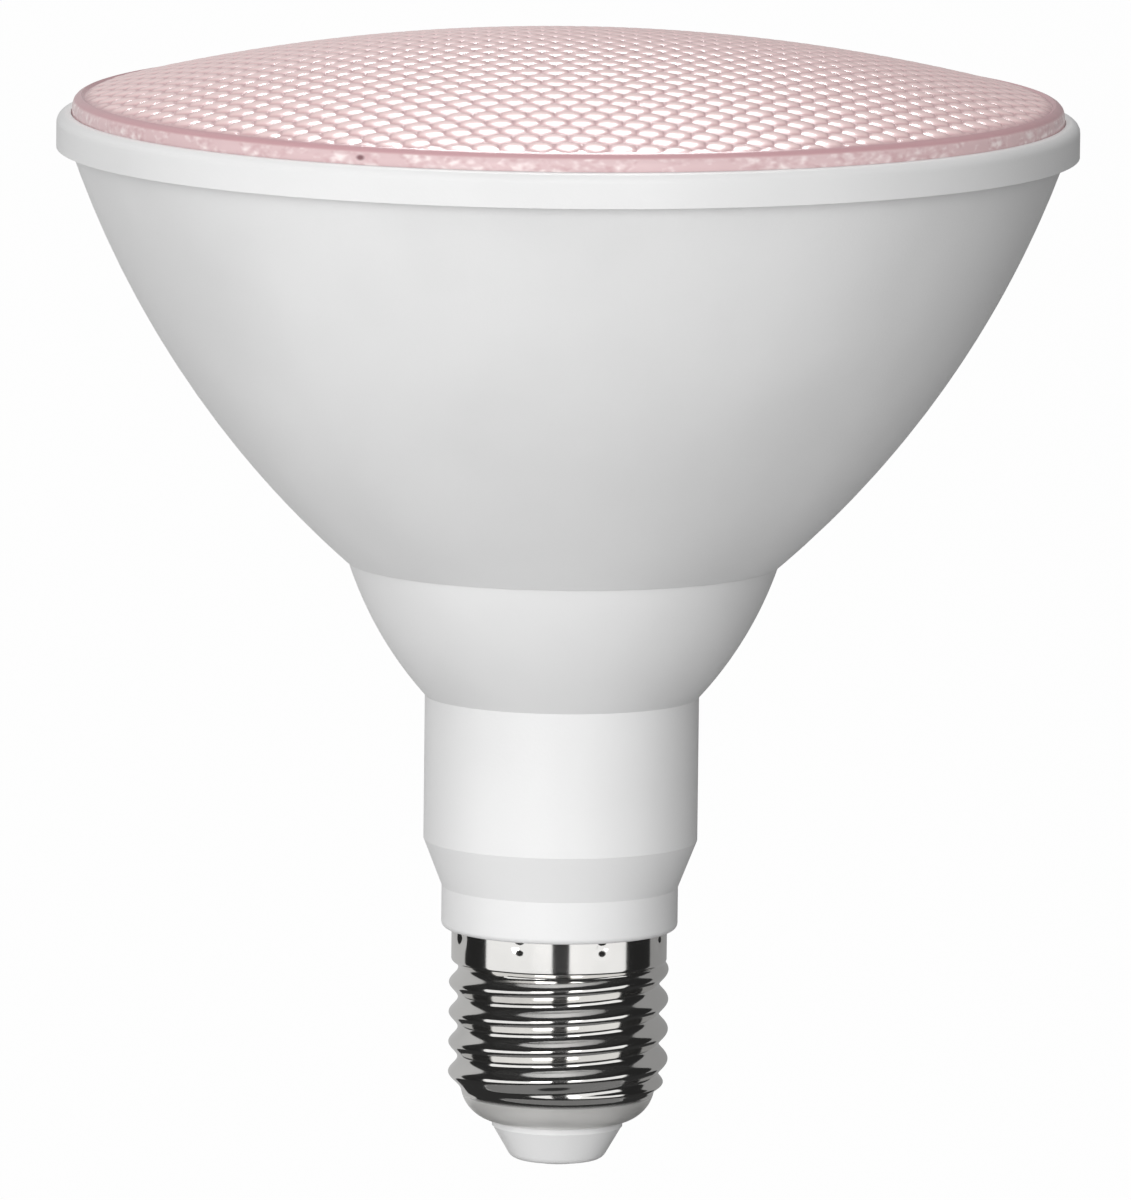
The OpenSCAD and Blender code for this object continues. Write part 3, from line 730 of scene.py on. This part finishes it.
@dataclass
class ScrewShell:
    """Rolled metal cap with a helical thread, a rounded shoulder and a punched collar."""

    shelf: FinishShelf
    crest_radius: float = 13.2 * MM
    root_radius: float = 12.1 * MM
    collar_radius: float = 12.95 * MM
    collar_length: float = 3.7 * MM
    thread_length: float = 16.2 * MM
    pitch: float = 3.629 * MM
    phase: float = 11.3 * MM
    wall: float = 0.35 * MM
    shoulder_radius: float = 4.45 * MM
    mouth_radius: float = 7.9 * MM
    neck_step: float = 0.5 * MM
    blend_length: float = 0.9 * MM
    foot_length: float = 1.2 * MM
    fade_length: float = 1.6 * MM
    sides: int = 320
    rows: int = 108
    collar_rows: int = 18
    dimple_count: int = 8
    dimple_turn: float = 23.5
    dimple_drop: float = 0.7 * MM
    dimple_size: float = 0.9 * MM
    dimple_depth: float = 0.36 * MM

    def __post_init__(self) -> None:
        """Work out the heights and the shoulder's centre."""
        self.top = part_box("screw_shell")[1][2]
        self.collar_z = self.top - self.collar_length
        self.thread_z = self.collar_z - self.thread_length
        self.neck_radius = self.root_radius - self.neck_step
        reach = math.sqrt(self.shoulder_radius ** 2 - self.blend_length ** 2)
        self.shoulder = (self.neck_radius - reach, self.thread_z + self.blend_length)

    @staticmethod
    def ease(low: float, high: float, value: float) -> float:
        """Return a smooth step from 0 to 1."""
        share = min(1.0, max(0.0, (value - low) / (high - low)))
        return share * share * (3 - 2 * share)

    def base(self, height: float) -> float:
        """Return the shell's outer radius without the thread."""
        foot = self.ease(self.thread_z, self.thread_z + self.foot_length, height)
        head = self.ease(self.collar_z - self.blend_length, self.collar_z, height)
        return (self.neck_radius + (self.root_radius - self.neck_radius) * foot
                + (self.collar_radius - self.root_radius) * head)

    def rise(self, turn: float, height: float) -> float:
        """Return how far the thread stands out at an angle and a height."""
        turns = (height - self.thread_z - self.phase) / self.pitch - turn / (2 * math.pi)
        wave = 0.5 + 0.5 * math.cos(2 * math.pi * turns)
        foot = self.ease(self.thread_z, self.thread_z + self.fade_length, height)
        head = 1 - self.ease(self.collar_z - self.blend_length, self.collar_z, height)
        return (self.crest_radius - self.root_radius) * wave * foot * head

    def arc_angle(self, radius: float, height: float) -> float:
        """Return the shoulder's angle at a height, for an arc of the given radius."""
        return math.degrees(math.asin((height - self.shoulder[1]) / radius))

    def profile(self) -> list[tuple[float, float]]:
        """Return the closed profile, up the outside and down the inside."""
        step = self.thread_length / self.rows
        collar_step = self.collar_length / self.collar_rows
        start = -math.degrees(math.acos((self.mouth_radius - self.shoulder[0]) / self.shoulder_radius))
        outside = arc(self.shoulder, self.shoulder_radius, start,
                      self.arc_angle(self.shoulder_radius, self.thread_z), 14)
        heights = [self.thread_z + i * step for i in range(1, self.rows + 1)]
        outside += [(self.base(height), height) for height in heights]
        outside += [(self.collar_radius, self.collar_z + i * collar_step)
                    for i in range(1, self.collar_rows + 1)]
        inner_radius = self.shoulder_radius - self.wall
        inside = [(self.base(z) - self.wall, z) for z in
                  (self.top, self.collar_z, self.collar_z - self.blend_length / 3,
                   self.collar_z - self.blend_length * 2 / 3, self.collar_z - self.blend_length,
                   self.thread_z + self.foot_length, self.thread_z + self.foot_length / 2)]
        start = -math.degrees(math.acos((self.mouth_radius - self.shoulder[0]) / inner_radius))
        inside += arc(self.shoulder, inner_radius, self.arc_angle(inner_radius, self.thread_z), start, 8)
        return outside + inside + outside[:1]

    def build(self) -> bpy.types.Object:
        """Turn the shell, roll its thread and punch its collar."""
        piece = Bench.lathe("rolled_shell", self.profile(), self.sides)
        for vertex in piece.data.vertices:
            radius, height = vertex.co.xy.length, vertex.co.z
            if radius < self.base(height) - self.wall / 2:
                continue
            turn = math.atan2(vertex.co.y, vertex.co.x)
            new_radius = radius
            if self.thread_z < height < self.collar_z:
                new_radius += self.rise(turn, height)
            elif height > self.collar_z:
                new_radius -= self.dimple(turn, height)
            vertex.co.xy *= new_radius / radius
        Bench.smooth(piece, 35.0)
        self.shelf.dress(piece, Finish.CAP)
        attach(piece, ROOT)
        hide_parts("screw_shell")
        LOG.info("screw shell: %d vertices", len(piece.data.vertices))
        return piece

    def dimple(self, turn: float, height: float) -> float:
        """Return the depth of the nearest punch mark at an angle and a height."""
        spacing = 2 * math.pi / self.dimple_count
        offset = (turn - math.radians(self.dimple_turn - 90) + spacing / 2) % spacing - spacing / 2
        reach = math.hypot(offset * self.collar_radius, height - self.top + self.dimple_drop)
        return self.dimple_depth * math.exp(-(reach / self.dimple_size) ** 2)


@dataclass
class Dressing:
    """Finishes of the CAD nodes whose shape stays as it is."""

    shelf: FinishShelf
    finishes: dict[str, Finish] = field(default_factory=lambda: {
        "lens": Finish.LENS, "bezel_ring": Finish.WHITE, "bowl": Finish.WHITE,
        "driver_housing": Finish.WHITE,
        "reflector": Finish.REFLECTOR, "heat_sink": Finish.ALUMINIUM, "thermal_pad": Finish.PAD,
        "led_board": Finish.WHITE_BOARD, "board_terminal": Finish.IVORY, "board_screws": Finish.STEEL,
        "led_wire_red": Finish.RED_WIRE, "led_wire_black": Finish.BLACK_WIRE,
        "driver_board": Finish.GREEN_BOARD, "transformer_core": Finish.FERRITE,
        "transformer_winding": Finish.WINDING, "transformer_bobbin": Finish.BLACK,
        "input_capacitor": Finish.SLEEVE, "output_capacitor": Finish.SLEEVE,
        "film_capacitor": Finish.FILM, "choke": Finish.FERRITE, "rectifier": Finish.BLACK,
        "driver_chip": Finish.BLACK, "chip_resistors": Finish.BLACK, "fuse_resistor": Finish.RESISTOR,
        "live_wire": Finish.BROWN_WIRE, "neutral_wire": Finish.BLUE_WIRE,
        "screw_shell": Finish.CAP, "insulator": Finish.INSULATOR, "centre_contact": Finish.CONTACT,
    })

    def build(self) -> None:
        """Dress every node in the table, and the LEDs by their filling."""
        for node, finish in self.finishes.items():
            self.shelf.dress(cad(node), finish)
        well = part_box("leds_white")[1][2] - 0.1 * MM
        fillings = {"leds_white": (0.85, 0.62, 0.1), "leds_red": (0.6, 0.05, 0.05),
                    "leds_blue": (0.1, 0.16, 0.7)}
        for node, filling in fillings.items():
            self.shelf.dress(cad(node), LedPackage(node + "_package", filling, well))
        LOG.info("dressed %d nodes", len(self.finishes) + len(fillings))


@dataclass(frozen=True)
class Card:
    """A dark card that only reflections see, curved about the lamp's axis."""

    name: str
    start: float
    end: float
    low: float
    high: float
    radius: float = 0.55
    shade: float = 0.02


@dataclass(frozen=True)
class Ring:
    """A level dark card that only reflections see, with or without a hole."""

    name: str
    inner: float
    outer: float
    height: float
    shade: float = 0.03


@dataclass
class Studio:
    """Camera, lights, floor, cards and background."""

    camera_distance: float = 2.0
    camera_height: float = 0.347
    aim: Point = (0.0003, 0.0, 0.06805)
    focal_length: float = 505.5
    roll: float = 0.65
    floor_drop: float = 0.35
    floor_size: float = 30.0
    floor_white: float = 0.98
    floor_pale: Colour = (0.68, 0.68, 0.68)
    floor_dark: Colour = (0.12, 0.12, 0.12)
    surround: float = 0.55
    left_lift: float = 0.19
    sky_lift: float = 0.22
    right_drop: float = 0.53
    card_step: float = 4.0
    cards: tuple[Card, ...] = (
        Card("card_centre", -7, 11, -0.34, 0.2),
        Card("card_left", -120, -84, -0.34, 0.6),
        Card("card_left_back", -180, -120, -0.34, 0.6, shade=0.5),
        Card("card_right", 76, 114, -0.34, 0.6),
        Card("card_right_back", 114, 180, -0.34, 0.6, shade=0.3),
        Card("card_top", -84, 76, 0.17, 0.6),
    )
    rings: tuple[Ring, ...] = (
        Ring("card_above", 0.0, 0.9, 0.95),
        Ring("card_below", 0.06, 0.16, -0.06),
        Ring("card_under", 0.0, 0.06, -0.061, shade=0.2),
        Ring("card_spot", 0.0, 0.012, -0.06),
    )

    def build(self) -> None:
        """Set the whole stage."""
        self.camera()
        self.light("key_box", (-0.12, -2.3, 0.55), (2.3, 1.6), 34.5)
        self.light("back_box", (0.0, 0.7, 1.0), (0.3, 0.35), 10.5, sheen_only=True)
        self.floor()
        self.world()
        self.hang_cards()
        bpy.context.scene.view_settings.view_transform = "Standard"

    def camera(self) -> None:
        """Place the camera at the photograph's viewing angle."""
        data = bpy.data.cameras.new("camera")
        data.sensor_fit = "VERTICAL"
        data.sensor_height = 36.0
        data.lens = self.focal_length
        eye = Vector((0.0, -self.camera_distance, self.camera_height))
        turn = (Vector(self.aim) - eye).to_track_quat("-Z", "Y").to_matrix().to_4x4()
        camera = bpy.data.objects.new("camera", data)
        roll = Matrix.Rotation(math.radians(self.roll), 4, "Z")
        camera.matrix_world = Matrix.Translation(eye) @ turn @ roll
        bpy.context.collection.objects.link(camera)
        bpy.context.scene.camera = camera

    def light(self, name: str, place: Point, size: tuple[float, float], power: float,
              sheen_only: bool = False) -> None:
        """Add a soft box that looks at the lamp.

        Args:
            name: Name of the light.
            place: Its centre in metres.
            size: Width and height in metres.
            power: Power in watts.
            sheen_only: Whether only reflections see it.
        """
        data = bpy.data.lights.new(name, "AREA")
        data.shape = "RECTANGLE"
        data.size, data.size_y = size
        data.energy = power
        light = bpy.data.objects.new(name, data)
        aim = Vector((0, 0, 0.07)) - Vector(place)
        light.visible_diffuse = not sheen_only
        light.matrix_world = Matrix.Translation(place) @ aim.to_track_quat("-Z", "Y").to_matrix().to_4x4()
        bpy.context.collection.objects.link(light)

    @staticmethod
    def backdrop_mask(graph: Graph) -> Term:
        """Return 1 for the rays that see the background itself: camera, glossy and transmission."""
        paths = graph.node("ShaderNodeLightPath").socket.node.outputs
        seen = [Term(graph, paths[key]) for key in ("Is Camera Ray", "Is Glossy Ray", "Is Transmission Ray")]
        both = graph.node("ShaderNodeMath", {"operation": "MAXIMUM"}, {0: seen[0], 1: seen[1]})
        return graph.node("ShaderNodeMath", {"operation": "MAXIMUM"}, {0: both, 1: seen[2]})

    def floor(self) -> None:
        """Lay a white floor well below the lamp, darker on the right and clear from underneath."""
        Bench.clear()
        bpy.ops.mesh.primitive_plane_add(size=self.floor_size, location=(0, 0, -self.floor_drop))
        floor = bpy.context.object
        floor.name = "floor"
        graph = Graph("floor_white")
        x, _, _ = graph.axes()
        albedo = graph.blend(x.step(0.05, 0.6), self.floor_pale, self.floor_dark)
        lit = graph.node("ShaderNodeBsdfDiffuse", inputs={"Color": albedo})
        white = graph.node("ShaderNodeEmission", inputs={"Color": (1.0, 1.0, 1.0), "Strength": 1.0})
        share = self.backdrop_mask(graph) * self.floor_white
        mixed = graph.node("ShaderNodeMixShader", inputs={0: share, 1: lit, 2: white})
        below = graph.node("ShaderNodeNewGeometry", output="Backfacing")
        clear = graph.node("ShaderNodeBsdfTransparent")
        seen = graph.node("ShaderNodeMixShader", inputs={0: below, 1: mixed, 2: clear})
        floor.data.materials.append(graph.finish(seen))

    def world(self) -> None:
        """Give the lamp a soft surround, a little darker on the right, and a white background."""
        graph = Graph("surround")
        world = bpy.data.worlds.new("surround")
        world.use_nodes = True
        graph.tree = world.node_tree
        graph.tree.nodes.clear()
        x, y, z = graph.axes_of("Generated")
        flag = (x * 0.87 + y * 0.5).step(0.22, 0.85)
        level = (self.surround + (0 - x).step(0.0, 1.0) * self.left_lift + z * self.sky_lift
                 - flag * self.right_drop)
        soft = graph.node("ShaderNodeBackground", inputs={"Color": (1, 1, 1), "Strength": level})
        white = graph.node("ShaderNodeBackground", inputs={"Color": (1, 1, 1), "Strength": 1.0})
        mixed = graph.node("ShaderNodeMixShader", inputs={0: self.backdrop_mask(graph), 1: soft, 2: white})
        output = graph.tree.nodes.new("ShaderNodeOutputWorld")
        graph.tree.links.new(mixed.socket, output.inputs["Surface"])
        bpy.context.scene.world = world
        bpy.data.materials.remove(graph.material)

    def hang_cards(self) -> None:
        """Hang the dark cards that give the metal its contrast, and those above and below."""
        for card in self.cards:
            self.curved_card(card)
        for ring in self.rings:
            self.ring_card(ring)

    def dark(self, card: bpy.types.Object, shade: float) -> None:
        """Paint a card and hide it from all but reflections."""
        graph = Graph(card.name)
        colour = (shade, shade, shade)
        card.data.materials.append(
            graph.finish(graph.node("ShaderNodeEmission", inputs={"Color": colour, "Strength": 1.0})))
        card.visible_camera = card.visible_diffuse = card.visible_shadow = False
        card.visible_transmission = card.visible_volume_scatter = False

    def curved_card(self, card: Card) -> None:
        """Bend a strip about the axis between two azimuths, counted from the camera's side."""
        Bench.clear()
        steps = max(2, int((card.end - card.start) / self.card_step))
        bpy.ops.mesh.primitive_grid_add(x_subdivisions=steps, y_subdivisions=1, size=1)
        strip = bpy.context.object
        strip.name = card.name
        for vertex in strip.data.vertices:
            turn = math.radians(card.start + (card.end - card.start) * (vertex.co.x + 0.5))
            height = card.low + (card.high - card.low) * (vertex.co.y + 0.5)
            vertex.co = (card.radius * math.sin(turn), -card.radius * math.cos(turn), height)
        self.dark(strip, card.shade)

    def ring_card(self, ring: Ring) -> None:
        """Add a level ring or disc."""
        Bench.clear()
        bpy.ops.mesh.primitive_circle_add(vertices=48, radius=ring.outer, fill_type="NGON",
                                          location=(0, 0, ring.height))
        disc = bpy.context.object
        disc.name = ring.name
        if ring.inner:
            bpy.ops.object.mode_set(mode="EDIT")
            bpy.ops.mesh.select_all(action="SELECT")
            bpy.ops.mesh.inset(thickness=ring.outer - ring.inner)
            bpy.ops.mesh.delete(type="FACE")
            bpy.ops.object.mode_set(mode="OBJECT")
        self.dark(disc, ring.shade)


def main() -> None:
    """Build and dress the lamp, then its stage."""
    logging.basicConfig(level=logging.INFO, format="%(message)s")
    shelf = FinishShelf()
    Dressing(shelf).build()
    Lens(shelf).build()
    ScrewShell(shelf).build()
    Studio().build()


if __name__ == "__main__":
    main()
